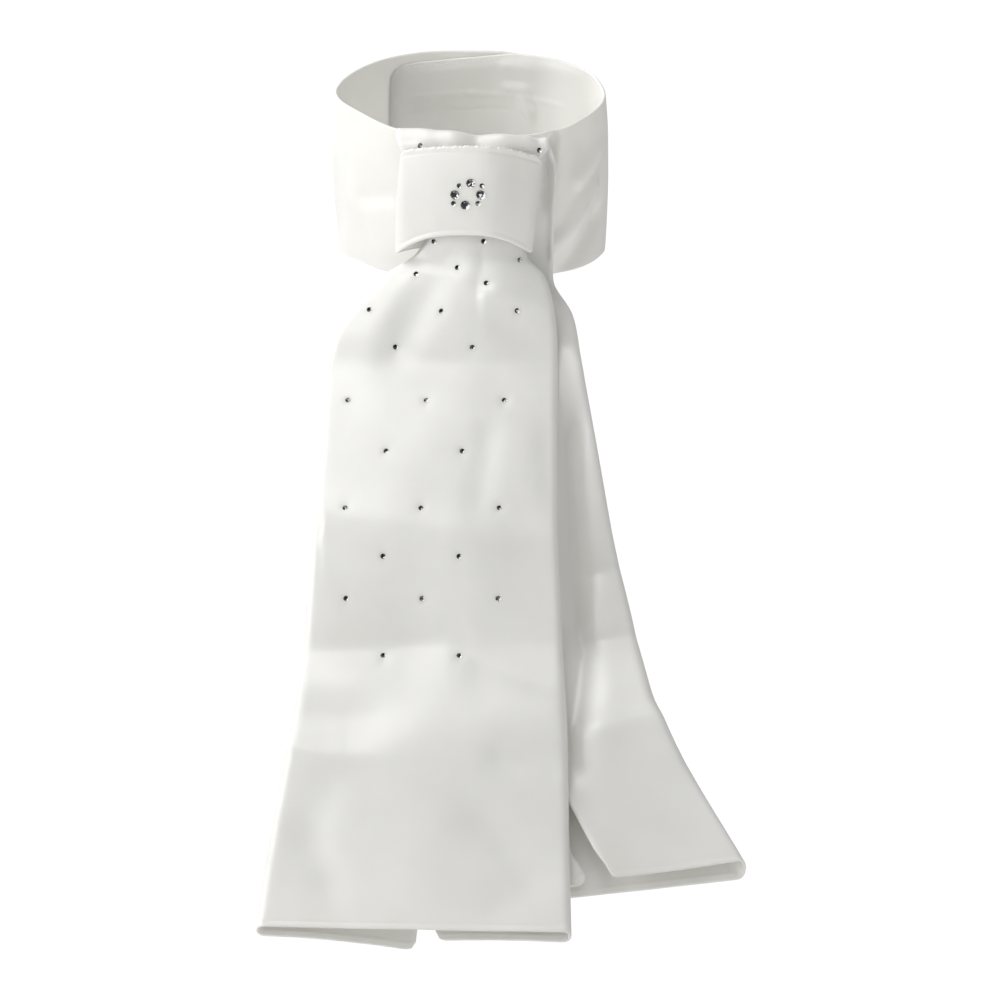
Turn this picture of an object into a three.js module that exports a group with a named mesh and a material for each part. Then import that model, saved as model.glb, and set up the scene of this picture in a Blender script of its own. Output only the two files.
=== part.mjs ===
// A ready-tied riding stock tie of white satin, in the shape it has when worn.
// Millimetres, +Z up, the front of the wearer faces -Y. The origin is the middle of the neck hollow.
import * as THREE from "three";
import { mergeVertices } from "three/addons/utils/BufferGeometryUtils.js";

// Driving dimensions
const BAND_WALL = 2.0;
const TAIL_WALL = 1.6;
const KNOT_WALL = 1.8;
const PATCH_WALL = 1.2;
const LONGEST_STEP = 7.5;
const PATCH_GAP = 0.45;
const STONE_GAP = 0.4;
const BIG_STONE = 4.0;
const SMALL_STONE = 2.2;

// The neck band's two rims: each is a plane that rises to the back
const TOP_RIM = { y: -10.6, z: 33.1, tilt: 21.1, bow: 0 };
const BOTTOM_RIM = { y: 11.2, z: -34.9, tilt: 17.8, bow: 3.2 };
const BAND_BULGE = 1.2;
const BAND_DEPTH = 55;

// Outline of the neck band seen from above its rim, outer face, from the middle of the back round to the right
const NECK_PLAN = [
  { x: 0, back: 55 }, { x: 22, back: 53 }, { x: 40, back: 45 }, { x: 53, back: 29 },
  { x: 59, back: 12 }, { x: 60.5, back: -5 }, { x: 54, back: -26 }, { x: 42, back: -43 },
  { x: 23, back: -52.5 }, { x: 4, back: -55 }, { x: -15, back: -52.5 }, { x: -33, back: -43 },
  { x: -48, back: -24 }, { x: -57.5, back: -7 }, { x: -59, back: 6 }, { x: -52, back: 27 },
  { x: -40, back: 43 }, { x: -22, back: 53 },
];
// The strip starts left of the middle of the back, inside, goes once round and ends right of it, outside
const STRIP_START = -0.098;
const STRIP_END = 1.115;
const PATCH_START = -0.085;
const PATCH_END = 0.095;
const OVERLAP_INSET = BAND_WALL + PATCH_WALL + 2 * PATCH_GAP;
const STEP_FROM = 0.13;
const STEP_TO = 0.18;

// The knot: arched edges, front and rear wall in front of the band's sloping front
const BAND_FRONT = { y: -58.75, lean: 0.335 };
const KNOT_FRONT_OFFSET = 14.8;
const KNOT_FRONT_LEAN = 0.17;
const KNOT_REAR_OFFSET = 6.7;
const KNOT_ROWS = [
  { t: 0, left: -32.2, right: 28.2, front: -26.3, end: -37.5, rear: -31 },
  { t: 0.5, left: -31.6, right: 30.4, front: -8.2, end: -16.5, rear: -16 },
  { t: 1, left: -29.8, right: 32.6, front: 9.9, end: 4.6, rear: -2 },
];
const NECK_SAG = { middle: 5, depth: 6.6, half: 33 };

// Tail sections from top to bottom. z, y, x: middle of the main face; width: across the folds; fold: fold
// radius; left, right: flap widths; leftLift, rightLift: how far a flap's free edge stands off;
// sag: share of the neck's curve; bow: how far the side edges lie behind the middle; roll: degrees
const TAIL_COLUMNS = ["z", "y", "x", "width", "fold", "left", "right", "leftLift", "rightLift", "sag", "bow", "roll"];
const tailTable = (rows) => rows.map((row) => Object.fromEntries(TAIL_COLUMNS.map((name, i) => [name, row[i]])));
const FRONT_TAIL = tailTable([
  [15.6,  -66.8,   2.6,    68, 1.4, 20, 20,  0,  0,    1,   0, -4],
  [   8,  -70.6,   2.0,    63, 1.5, 20, 20,  0,  0,    1,   0, -2],
  [   1,  -71.2,   2.0,    50, 1.6, 18, 18,  0,  0,    1,   0,  0],
  [ -12,  -69.1,   2.4,    45, 1.9, 17, 17,  0,  0,    1,   0,  0],
  [ -27,  -66.2,   4.0,  39.6, 2.2, 16, 16,  0,  0,    1,   0,  0],
  [ -38,  -65.7,   0.8,  48.6, 2.4, 20, 20,  0,  0,  1.4, 1.5,  0],
  [ -46,  -70.5,  -1.6,    68, 2.5, 28, 28, .5, .5,  0.9,   4,  0],
  [ -58,  -76.0,  -5.2,    83, 2.6, 35, 35,  1,  1,  0.4,   5,  0],
  [ -71,  -81.9,  -9.0,    94, 2.6, 41, 40,  1,  1,  0.1, 4.5,  0],
  [ -82,  -86.8, -10.8,  98.2, 2.6, 44, 42,  1,  1,    0,   4,  0],
  [ -88,  -90.3, -11.3,    99, 2.6, 45, 43,  1,  1,    0,   4,  0],
  [ -98,  -97.0, -11.5,  99.1, 2.6, 45, 43,  1,  1,    0,   4,  0],
  [-120, -109.0, -12.0,  99.4, 2.6, 46, 43,  2, 1.5,   0,   4,  0],
  [-152, -126.2, -13.9, 103.2, 2.6, 48, 44,  2, 1.5,   0,   4,  0],
  [-160, -129.8, -14.3, 104.2, 2.6, 49, 44,  2, 1.5,   0,   4,  0],
  [-200, -141.9, -14.7, 109.1, 2.8, 52, 46,  3,  2,    0,   3,  0],
  [-208, -145.3, -14.9, 110.2, 2.8, 52, 46,  3,  2,    0, 2.5,  0],
  [-228, -157.2, -15.6,   114, 3.0, 55, 48,  3,  2,    0,   2,  0],
  [-244, -166.8, -16.9, 117.4, 3.1, 57, 50,  3,  2,    0,   2,  0],
  [-252, -170.8, -17.7, 119.2, 3.1, 58, 51,  4,  2,    0,   2,  0],
  [-290, -186.2, -20.8, 126.6, 3.2, 62, 54,  9,  4,    0, 1.5,  0],
  [-317, -196.9, -22.4,   131, 3.2, 65, 56, 14,  6,    0, 1.5, -1],
]);
const BACK_TAIL = tailTable([
  [     4,  -61.5,     9,    59, 1.4, 20, 20,  0,  0, 1.06,   0,  0],
  [   -20,  -53.5,     8,    58, 1.4, 20, 20,  0,  0, 1.06,   0,  0],
  [   -40,  -47.0,   7.5,    58, 1.5, 20, 20,  0,  0, 1.06,   0,  0],
  [   -52,  -46.6,   7.2,    60, 1.8, 22, 22,  0,  0,  0.9,   0,  0],
  [   -66,  -54.5,   5.6,    79, 2.3, 30, 30, .5, .5,  0.4,   2,  0],
  [   -86,  -68.0,   4.6,    88, 2.5, 36, 36,  1,  1,  0.1,   2,  1],
  [  -120,  -88.0,   7.6,    94, 2.6, 40, 40, 1.5, 1.5,  0, 1.5,  3],
  [-159.5, -106.0,  11.8,    99, 2.6, 43, 43,  2,  2,    0, 1.5,  5],
  [-175.5, -112.0,  13.9, 101.5, 2.6, 44, 44,  2,  2,    0, 1.5,  6],
  [  -204, -122.0,  18.6, 105.6, 2.8, 46, 46,  3,  3,    0, 1.5,  7],
  [  -212, -125.3,  19.9, 106.8, 2.9, 46, 46,  3,  3,    0, 1.5, 7.3],
  [  -235, -138.5,  24.4,   110, 3.1, 49, 49,  3,  4,    0, 1.5,  8],
  [  -246, -144.9,  28.2,   113, 3.1, 50, 50,  3,  4,    0, 1.5, 8.4],
  [  -263, -152.2,  34.4,   118, 3.2, 52, 52,  4,  5,    0, 1.5,  9],
  [-303.6, -168.5,  55.0,   126, 3.2, 55, 55,  5,  8,    0, 1.5,  8],
]);

// Soft folds in the front tail's face: from and to are x and z, height is out of the face
const FRONT_FOLDS = [
  { from: [-13, -47], to: [-33, -66], height: 2.4, half: 9 },
  { from: [8, -54], to: [31, -61], height: 1.6, half: 7 },
];
const BACK_FOLDS = [
  { from: [38, -180], to: [42, -200], height: 2.0, half: 5 },
];

// Stones on the front tail, a row for each height; the ring on the knot is listed big stones first
const TAIL_STONES = [
  { z: 8.6, x: [-20.5, 30.5] },
  { z: -31.5, x: [-14.6, 6.6] },
  { z: -40.5, x: [22] },
  { z: -44.4, x: [-4.9] },
  { z: -47.4, x: [-22.2] },
  { z: -50.9, x: [7.7] },
  { z: -62.5, x: [-42.6, -11.7, 21.1] },
  { z: -78, x: [-31.5, 1.7] },
  { z: -100.5, x: [-51.8, -18.0, 15.5] },
  { z: -121.8, x: [-35.1, -2.5] },
  { z: -145.5, x: [-52.4, -20.0, 13.4] },
  { z: -165.5, x: [-36.1, -3.7] },
  { z: -183.4, x: [-51.8, -19.4, 12.9] },
  { z: -207.4, x: [-35.9, -3.6] },
];
const KNOT_STONES = [
  { x: 1.2, z: -6.1, size: BIG_STONE }, { x: -5.6, z: -11.1, size: BIG_STONE },
  { x: 5.4, z: -11.1, size: BIG_STONE }, { x: -1.2, z: -15.6, size: BIG_STONE },
  { x: -3.7, z: -7.2, size: SMALL_STONE }, { x: 6.0, z: -7.2, size: SMALL_STONE },
  { x: -6.2, z: -14.9, size: SMALL_STONE }, { x: 4.3, z: -14.9, size: SMALL_STONE },
];

const satin = new THREE.MeshStandardMaterial({ color: 0xe9e9e3, roughness: 0.42, metalness: 0 });
const hook = new THREE.MeshStandardMaterial({ color: 0xe4e4de, roughness: 0.9, metalness: 0 });
const crystal = new THREE.MeshStandardMaterial({ color: 0xaab0b4, roughness: 0.08, metalness: 0.6 });
const part = new THREE.Group();

function smooth(from, to, value) {
  const t = Math.min(1, Math.max(0, (value - from) / (to - from)));
  return t * t * (3 - 2 * t);
}

// A smooth value of every column between the rows, at a height; rows run downwards
function rowAtHeight(rows, key, at) {
  const direction = Math.sign(rows[rows.length - 1][key] - rows[0][key]);
  let i = 0;
  while (i < rows.length - 2 && direction * (at - rows[i + 1][key]) > 0) i += 1;
  const [a, b] = [rows[i], rows[i + 1]];
  const [before, after] = [rows[Math.max(0, i - 1)], rows[Math.min(rows.length - 1, i + 2)]];
  const span = b[key] - a[key];
  const t = (at - a[key]) / span;
  const result = {};
  for (const name of Object.keys(a)) {
    const slopeA = ((b[name] - before[name]) / (b[key] - before[key])) * span;
    const slopeB = ((after[name] - a[name]) / (after[key] - a[key])) * span;
    result[name] = (2 * t ** 3 - 3 * t ** 2 + 1) * a[name] + (t ** 3 - 2 * t ** 2 + t) * slopeA
      + (3 * t ** 2 - 2 * t ** 3) * b[name] + (t ** 3 - t ** 2) * slopeB;
  }
  return result;
}

// A closed wall on both sides of a grid of points; rows of the grid are lists of equal length
function wallFromGrid(grid, wall, closed) {
  const rows = grid.length;
  const columns = grid[0].length;
  const at = (i, j) => grid[i][closed ? (j + columns) % columns : Math.min(columns - 1, Math.max(0, j))];
  const positions = [];
  for (const side of [0.5, -0.5]) {
    for (let i = 0; i < rows; i += 1) {
      for (let j = 0; j < columns; j += 1) {
        const across = at(i, j + 1).clone().sub(at(i, j - 1));
        const along = at(Math.min(rows - 1, i + 1), j).clone().sub(at(Math.max(0, i - 1), j));
        const normal = across.cross(along).normalize();
        positions.push(...at(i, j).clone().addScaledVector(normal, side * wall).toArray());
      }
    }
  }
  const faces = [];
  const quad = (a, b, c, d) => faces.push(a, b, c, a, c, d);
  const front = (i, j) => i * columns + (j % columns);
  const rear = (i, j) => rows * columns + front(i, j);
  const lastColumn = closed ? columns : columns - 1;
  for (let i = 0; i < rows - 1; i += 1) {
    for (let j = 0; j < lastColumn; j += 1) {
      quad(front(i, j), front(i, j + 1), front(i + 1, j + 1), front(i + 1, j));
      quad(rear(i, j), rear(i + 1, j), rear(i + 1, j + 1), rear(i, j + 1));
    }
  }
  for (let j = 0; j < lastColumn; j += 1) {
    quad(front(0, j), rear(0, j), rear(0, j + 1), front(0, j + 1));
    quad(front(rows - 1, j), front(rows - 1, j + 1), rear(rows - 1, j + 1), rear(rows - 1, j));
  }
  for (let i = 0; i < rows - 1 && !closed; i += 1) {
    quad(front(i, 0), front(i + 1, 0), rear(i + 1, 0), rear(i, 0));
    quad(front(i, columns - 1), rear(i, columns - 1), rear(i + 1, columns - 1), front(i + 1, columns - 1));
  }
  const geometry = new THREE.BufferGeometry();
  geometry.setAttribute("position", new THREE.Float32BufferAttribute(positions, 3));
  geometry.setIndex(faces);
  return mergeVertices(geometry, 1e-4);
}

function addPiece(name, geometry, material) {
  const mesh = new THREE.Mesh(geometry, material);
  mesh.name = name;
  part.add(mesh);
  return mesh;
}

// Neck band and closure
const planCurve = new THREE.CatmullRomCurve3(
  NECK_PLAN.map((row) => new THREE.Vector3(row.x, row.back, 0)), true, "centripetal");

function rimPoint(rim, x, back) {
  const tilt = THREE.MathUtils.degToRad(rim.tilt);
  const bow = rim.bow * (back / BAND_DEPTH) ** 2;
  return new THREE.Vector3(x, rim.y + back * Math.cos(tilt), rim.z + back * Math.sin(tilt) + bow);
}

// turn: share of the way round from the middle of the back; up: 0 at the lower rim, 1 at the top rim
function bandPoint(turn, up, inset) {
  const share = ((turn % 1) + 1) % 1;
  const plan = planCurve.getPointAt(share);
  const tangent = planCurve.getTangentAt(share);
  const out = BAND_BULGE * Math.sin(Math.PI * up) - inset;
  const x = plan.x - tangent.y * out;
  const back = plan.y + tangent.x * out;
  return rimPoint(BOTTOM_RIM, x, back).lerp(rimPoint(TOP_RIM, x, back), up);
}

function bandGrid(from, to, low, high, columns, rows, insetAt) {
  const grid = [];
  for (let i = 0; i <= rows; i += 1) {
    const up = high + ((low - high) * i) / rows;
    const line = [];
    for (let j = 0; j <= columns; j += 1) {
      const turn = from + ((to - from) * j) / columns;
      line.push(bandPoint(turn, up, insetAt(turn)));
    }
    grid.push(line);
  }
  return grid;
}

function addNeckBand() {
  const inset = (turn) => BAND_WALL / 2 + OVERLAP_INSET * (1 - smooth(STEP_FROM, STEP_TO, turn));
  const grid = bandGrid(STRIP_START, STRIP_END, 0, 1, 62, 4, inset);
  addPiece("neck_band", wallFromGrid(grid, BAND_WALL, false), satin);
  const patchInset = () => BAND_WALL + PATCH_GAP + PATCH_WALL / 2;
  const patch = bandGrid(PATCH_START, PATCH_END, 0.3, 0.78, 12, 2, patchInset);
  addPiece("closure_patch", wallFromGrid(patch, PATCH_WALL, false), hook);
}

// Knot
function neckSag(x) {
  return NECK_SAG.depth * ((x - NECK_SAG.middle) / NECK_SAG.half) ** 2;
}

// Middle of the knot's front wall at a place across and a height
function knotFront(x, z) {
  const front = BAND_FRONT.y - BAND_FRONT.lean * z;
  return front - KNOT_FRONT_OFFSET + KNOT_FRONT_LEAN * z + neckSag(x);
}

function knotRear(x, z) {
  return BAND_FRONT.y - BAND_FRONT.lean * z - KNOT_REAR_OFFSET + 1.06 * neckSag(x);
}

function addKnot() {
  const wallSteps = 10;
  const foldSteps = 4;
  const levels = 4;
  const grid = [];
  for (let i = 0; i <= levels; i += 1) {
    const row = rowAtHeight(KNOT_ROWS, "t", 1 - i / levels);
    const middle = (row.left + row.right) / 2;
    const half = (row.right - row.left - KNOT_WALL) / 2;
    const line = [];
    const heightAt = (x) => row.front + (row.end - row.front) * ((x - middle) / half) ** 2;
    const depth = (knotRear(half, row.end) - knotFront(half, row.end)) / 2;
    const straight = half - depth;
    for (let j = 0; j <= wallSteps; j += 1) {
      const x = middle - straight + (2 * straight * j) / wallSteps;
      line.push(new THREE.Vector3(x, knotFront(x, heightAt(x)), heightAt(x)));
    }
    const sideFold = (sign, step) => {
      const angle = (Math.PI * step) / foldSteps;
      const x = middle + sign * (straight + depth * Math.sin(angle));
      const share = (1 - Math.cos(angle)) / 2;
      const z = heightAt(x) + (row.rear - heightAt(x)) * share;
      line.push(new THREE.Vector3(x, knotFront(x, z) + (knotRear(x, z) - knotFront(x, z)) * share, z));
    };
    for (let j = 1; j < foldSteps; j += 1) sideFold(1, j);
    for (let j = 0; j <= wallSteps; j += 1) {
      const x = middle + straight - (2 * straight * j) / wallSteps;
      line.push(new THREE.Vector3(x, knotRear(x, row.rear), row.rear));
    }
    for (let j = foldSteps - 1; j > 0; j -= 1) sideFold(-1, j);
    grid.push(line);
  }
  addPiece("knot_band", wallFromGrid(grid, KNOT_WALL, true), satin);
}

// Tails
function foldHeight(folds, x, z) {
  let height = 0;
  for (const fold of folds) {
    const run = [fold.to[0] - fold.from[0], fold.to[1] - fold.from[1]];
    const reach = [x - fold.from[0], z - fold.from[1]];
    const share = (reach[0] * run[0] + reach[1] * run[1]) / (run[0] ** 2 + run[1] ** 2);
    const t = Math.min(1, Math.max(0, share));
    const away = Math.hypot(reach[0] - t * run[0], reach[1] - t * run[1]);
    height += fold.height * Math.exp(-((away / fold.half) ** 2));
  }
  return height;
}

// A point of a tail. lat: mm across from the middle; depth: mm out of the main face, towards the flaps if negative
function tailPoint(tail, z, lat, depth) {
  const row = rowAtHeight(tail.rows, "z", z);
  const ahead = rowAtHeight(tail.rows, "z", z - 1);
  const behind = rowAtHeight(tail.rows, "z", z + 1);
  const up = new THREE.Vector3(0, behind.y - ahead.y, 2).normalize();
  const roll = THREE.MathUtils.degToRad(row.roll);
  const across = new THREE.Vector3(Math.cos(roll), 0, 0).addScaledVector(up, Math.sin(roll));
  const out = up.clone().cross(across).normalize().negate();
  const point = new THREE.Vector3(row.x, row.y, z).addScaledVector(across, lat);
  point.y += row.sag * neckSag(point.x) + row.bow * ((2 * lat) / row.width) ** 2;
  return point.addScaledVector(out, depth * tail.side);
}

// One line across a tail: left flap, left fold, main face, right fold, right flap
function tailLine(tail, z) {
  const row = rowAtHeight(tail.rows, "z", z);
  const flapSteps = 3;
  const foldSteps = 4;
  const faceSteps = 12;
  const straight = row.width / 2 - row.fold;
  const line = [];
  const flap = (sign, width, lift, share) => {
    const lat = sign * (straight - width * share);
    line.push(tailPoint(tail, z, lat, -2 * row.fold - lift * share ** 2));
  };
  const fold = (sign, angle) => {
    const lat = sign * (straight + row.fold * Math.sin(angle));
    line.push(tailPoint(tail, z, lat, row.fold * (Math.cos(angle) - 1)));
  };
  for (let j = flapSteps; j > 0; j -= 1) flap(-1, row.left, row.leftLift, j / flapSteps);
  for (let j = foldSteps; j > 0; j -= 1) fold(-1, (Math.PI * j) / foldSteps);
  for (let j = 0; j <= faceSteps; j += 1) {
    const lat = -straight + (2 * straight * j) / faceSteps;
    const flat = tailPoint(tail, z, lat, 0);
    line.push(tailPoint(tail, z, lat, tail.side * foldHeight(tail.folds, flat.x, z)));
  }
  for (let j = 1; j <= foldSteps; j += 1) fold(1, (Math.PI * j) / foldSteps);
  for (let j = 1; j <= flapSteps; j += 1) flap(1, row.right, row.rightLift, j / flapSteps);
  return line;
}

function addTail(name, tail) {
  const lines = [];
  tail.rows.forEach((row, i) => {
    lines.push(tailLine(tail, row.z));
    const next = tail.rows[i + 1];
    if (next && row.z - next.z > LONGEST_STEP) lines.push(tailLine(tail, (row.z + next.z) / 2));
  });
  addPiece(name, wallFromGrid(lines, TAIL_WALL, false), satin);
}

// Stones: a flat back, a girdle and eight crown facets round a table
function stoneGeometry(size) {
  const radius = size / 2;
  const profile = [
    new THREE.Vector2(0, 0), new THREE.Vector2(radius * 0.94, 0), new THREE.Vector2(radius, size * 0.08),
    new THREE.Vector2(radius * 0.55, size * 0.42), new THREE.Vector2(0, size * 0.42),
  ];
  const geometry = new THREE.LatheGeometry(profile, 8);
  geometry.deleteAttribute("normal");
  geometry.deleteAttribute("uv");
  return mergeVertices(geometry, 1e-4);
}

function addStone(name, size, seat, outward) {
  const stone = addPiece(name, stoneGeometry(size), crystal);
  stone.quaternion.setFromUnitVectors(new THREE.Vector3(0, 1, 0), outward);
  stone.position.copy(seat);
}

// Seat of a stone on the front tail: on the outer face, at the gap
function tailSeat(x, z) {
  const place = (atX, atZ) => {
    const here = rowAtHeight(FRONT_TAIL, "z", atZ);
    return tailPoint(frontTail, atZ, atX - here.x, foldHeight(FRONT_FOLDS, atX, atZ));
  };
  const across = place(x + 2, z).sub(place(x - 2, z));
  const along = place(x, z - 2).sub(place(x, z + 2));
  const outward = along.cross(across).normalize();
  return { seat: place(x, z).addScaledVector(outward, TAIL_WALL / 2 + STONE_GAP), outward };
}

function addStones() {
  KNOT_STONES.forEach((stone, i) => {
    const place = (x, z) => new THREE.Vector3(x, knotFront(x, z), z);
    const across = place(stone.x + 1, stone.z).sub(place(stone.x - 1, stone.z));
    const along = place(stone.x, stone.z - 1).sub(place(stone.x, stone.z + 1));
    const outward = along.cross(across).normalize();
    const seat = place(stone.x, stone.z).addScaledVector(outward, KNOT_WALL / 2 + STONE_GAP);
    addStone(`stone_ring_${i + 1}`, stone.size, seat, outward);
  });
  let count = 0;
  for (const row of TAIL_STONES) {
    for (const x of row.x) {
      count += 1;
      const { seat, outward } = tailSeat(x, row.z);
      addStone(`stone_${count}`, SMALL_STONE, seat, outward);
    }
  }
}

const frontTail = { rows: FRONT_TAIL, folds: FRONT_FOLDS, side: 1 };
const backTail = { rows: BACK_TAIL, folds: BACK_FOLDS, side: -1 };
addNeckBand();
addKnot();
addTail("front_tail", frontTail);
addTail("back_tail", backTail);
addStones();

export default part;
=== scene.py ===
# Stock tie of white satin, ready tied, as it sits when worn. Lengths in the tables are millimetres.
import math
import bmesh
import bpy
import numpy as np
from mathutils import Matrix, Vector


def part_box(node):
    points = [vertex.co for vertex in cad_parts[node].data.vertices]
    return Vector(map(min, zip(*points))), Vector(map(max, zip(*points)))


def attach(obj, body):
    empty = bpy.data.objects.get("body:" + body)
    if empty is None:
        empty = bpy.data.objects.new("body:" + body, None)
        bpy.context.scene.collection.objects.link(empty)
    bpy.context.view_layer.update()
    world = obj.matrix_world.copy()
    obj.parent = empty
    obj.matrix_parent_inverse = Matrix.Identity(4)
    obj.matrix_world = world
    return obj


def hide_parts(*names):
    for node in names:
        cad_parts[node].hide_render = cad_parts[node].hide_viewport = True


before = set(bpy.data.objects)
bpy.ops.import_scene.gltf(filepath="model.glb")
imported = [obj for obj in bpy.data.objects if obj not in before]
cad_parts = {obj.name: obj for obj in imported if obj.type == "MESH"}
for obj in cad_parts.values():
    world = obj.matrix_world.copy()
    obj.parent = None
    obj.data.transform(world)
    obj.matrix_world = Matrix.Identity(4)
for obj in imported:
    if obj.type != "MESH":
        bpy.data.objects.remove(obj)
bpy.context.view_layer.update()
mm = 0.001
print("frame loaded:", len(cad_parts), "nodes")


# Small helpers

def colour(hexValue, alpha=1.0):
    channels = [int(hexValue[i:i + 2], 16) / 255 for i in (1, 3, 5)]
    return [c / 12.92 if c <= 0.04045 else ((c + 0.055) / 1.055) ** 2.4 for c in channels] + [alpha]


def addNode(tree, kind, links=(), **settings):
    node = tree.nodes.new(kind)
    for name, value in settings.items():
        if name in node.inputs:
            node.inputs[name].default_value = value
        else:
            setattr(node, name, value)
    for socket, source in links:
        tree.links.new(source, node.inputs[socket])
    return node


def newMaterial(name, **shader):
    material = bpy.data.materials.new(name)
    material.use_nodes = True
    tree = material.node_tree
    tree.nodes.clear()
    body = addNode(tree, "ShaderNodeBsdfPrincipled", **shader)
    addNode(tree, "ShaderNodeOutputMaterial", links=[("Surface", body.outputs["BSDF"])])
    return material, tree, body


def meshObject(name, bm, smooth=True):
    mesh = bpy.data.meshes.new(name)
    bm.to_mesh(mesh)
    bm.free()
    piece = bpy.data.objects.new(name, mesh)
    bpy.context.scene.collection.objects.link(piece)
    for face in mesh.polygons:
        face.use_smooth = smooth
    return piece


def applyModifiers(piece):
    bpy.context.view_layer.update()
    graph = bpy.context.evaluated_depsgraph_get()
    finished = bpy.data.meshes.new_from_object(piece.evaluated_get(graph))
    piece.modifiers.clear()
    piece.data = finished


# A smooth run from p to q at the shares t of the way, with the slopes m and n at its ends

def smoothRun(t, p, m, q, n):
    return ((2 * t ** 3 - 3 * t ** 2 + 1) * p + (t ** 3 - 2 * t ** 2 + t) * m
            + (3 * t ** 2 - 2 * t ** 3) * q + (t ** 3 - t ** 2) * n)


# One smooth value of every named column between the rows of a table

def rowsAt(rows, key, at):
    at = np.asarray(at, float)
    knots = np.array([row[key] for row in rows], float)
    sign = 1.0 if knots[-1] > knots[0] else -1.0
    index = np.clip(np.searchsorted(sign * knots, sign * at, side="right") - 1, 0, len(knots) - 2)
    span = knots[index + 1] - knots[index]
    t = (at - knots[index]) / span
    values = {}
    for name in rows[0]:
        p = np.array([row[name] for row in rows], float)
        slope = np.empty_like(p)
        slope[1:-1] = (p[2:] - p[:-2]) / (knots[2:] - knots[:-2])
        slope[0] = (p[1] - p[0]) / (knots[1] - knots[0])
        slope[-1] = (p[-1] - p[-2]) / (knots[-1] - knots[-2])
        values[name] = smoothRun(t, p[index], slope[index] * span, p[index + 1], slope[index + 1] * span)
    return values


def table(columns, rows):
    names = columns.split()
    return [dict(zip(names, row)) for row in rows]


def smoothStep(low, high, value):
    t = np.clip((value - low) / (high - low), 0, 1)
    return t * t * (3 - 2 * t)


# Height of a table of soft folds at points (a, b). A fold is a ridge, or a groove where h is below 0. It runs
# from one point to another and fades beyond its ends, over so many times its half width.

foldFade = 1.5


def foldHeight(folds, a, b):
    height = np.zeros_like(a, float)
    for fold in folds:
        ax, bx = fold["a1"] - fold["a0"], fold["b1"] - fold["b0"]
        length = math.hypot(ax, bx)
        along = ((a - fold["a0"]) * ax + (b - fold["b0"]) * bx) / length
        across = ((b - fold["b0"]) * ax - (a - fold["a0"]) * bx) / length
        over = np.maximum(0, np.maximum(-along, along - length))
        fade = np.exp(-(over / (fold["half"] * foldFade)) ** 2)
        height += fold["h"] * fade * np.exp(-(across / fold["half"]) ** 2)
    return height


# Height of bends: along a line the cloth turns by an angle in radians and eases back within the spread.
# A line runs across, so that it gives b for each a, or down, so that it gives a for each b.

def bendHeight(bends, a, b):
    height = np.zeros_like(a, float)
    for bend in bends:
        along, place = zip(*bend["line"])
        if bend["runs"] == "across":
            at, below = a, np.interp(a, along, place) - b
        else:
            at, below = b, a - np.interp(b, along, place)
        fade = smoothStep(along[0] - bend["fade"][0], along[0], at)
        fade = fade * (1 - smoothStep(along[-1], along[-1] + bend["fade"][1], at))
        sharp = bend["soft"] * np.logaddexp(0, below / bend["soft"])
        broad = bend["spread"] * np.logaddexp(0, below / bend["spread"])
        height += bend["turn"] * fade * (sharp - broad)
    return height


# Height of the rolls and stitch grooves that run along an edge, from the distance to that edge

def hemHeight(hem, fromEdge):
    height = np.zeros_like(fromEdge)
    for line in hem:
        height += line["h"] * np.exp(-((fromEdge - line["at"]) / line["half"]) ** 2)
    return height


# Gentle unevenness of hanging cloth: a seeded sum of smooth waves of about the given length and height

def wander(points, length, amount, seed):
    dice = np.random.default_rng(seed)
    waves = 14
    fullTurn = 6.28
    heading = dice.normal(size=(waves, 3))
    heading /= np.linalg.norm(heading, axis=1)[:, None]
    heading *= (2 * math.pi / length * dice.uniform(0.6, 1.3, waves))[:, None]
    start = dice.uniform(0, fullTurn, waves)
    return amount * math.sqrt(2 / waves) * np.cos(points @ heading.T + start).sum(axis=1)


def waveHeight(waves, points):
    return sum(wander(points, **wave) for wave in waves)


# Where a cloth's rows lie when its hems are drawn finer than the rest

def finerSteps(share, stops):
    even, real = zip(*stops)
    return np.interp(share, even, real)


# A cloth from a grid whose points a surface gives; columns and rows share u and v from 0 to 1.
# Its edges are rounded: they thin down to a share of the full thickness.

thinEdge = 0.3


def clothGrid(name, cloth, surface, closed=False):
    bm = bmesh.new()
    uvLayer = bm.loops.layers.uv.new("UVMap")
    bmesh.ops.create_grid(bm, x_segments=cloth["columns"], y_segments=cloth["rows"], size=0.5, calc_uvs=True)
    bm.verts.index_update()
    flat = np.array([vert.co for vert in bm.verts])
    u = flat[:, 0] + 0.5
    v = finerSteps(0.5 - flat[:, 1], cloth["vStops"])
    points = surface(u, v) * mm
    edge = np.minimum(v, 1 - v) * cloth["flat"][1]
    if not closed:
        edge = np.minimum(edge, np.minimum(u, 1 - u) * cloth["flat"][0])
    rim = cloth["thick"] * 0.5 * mm
    rounding = np.sqrt(np.maximum(0, 1 - (1 - edge / rim) ** 2))
    weights = np.where(edge > rim, 1.0, thinEdge + (1 - thinEdge) * rounding)
    deform = bm.verts.layers.deform.verify()
    for vert, point, weight in zip(bm.verts, points, weights):
        vert.co = point
        vert[deform][0] = weight
    width, height = cloth["flat"]
    for face in bm.faces:
        for loop in face.loops:
            i = loop.vert.index
            loop[uvLayer].uv = (u[i] * width, (1 - v[i]) * height)
    if closed:
        bmesh.ops.remove_doubles(bm, verts=bm.verts, dist=1e-6)
    piece = meshObject(name, bm)
    piece.vertex_groups.new(name="edge")
    solid = piece.modifiers.new("cloth thickness", "SOLIDIFY")
    solid.thickness = cloth["thick"] * mm
    solid.offset = 0
    solid.vertex_group = "edge"
    solid.thickness_vertex_group = 0.0
    applyModifiers(piece)
    return piece


# Camera and light

def aimAt(item, target):
    item.rotation_euler = (Vector(target) - item.location).to_track_quat("-Z", "Y").to_euler()


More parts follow.
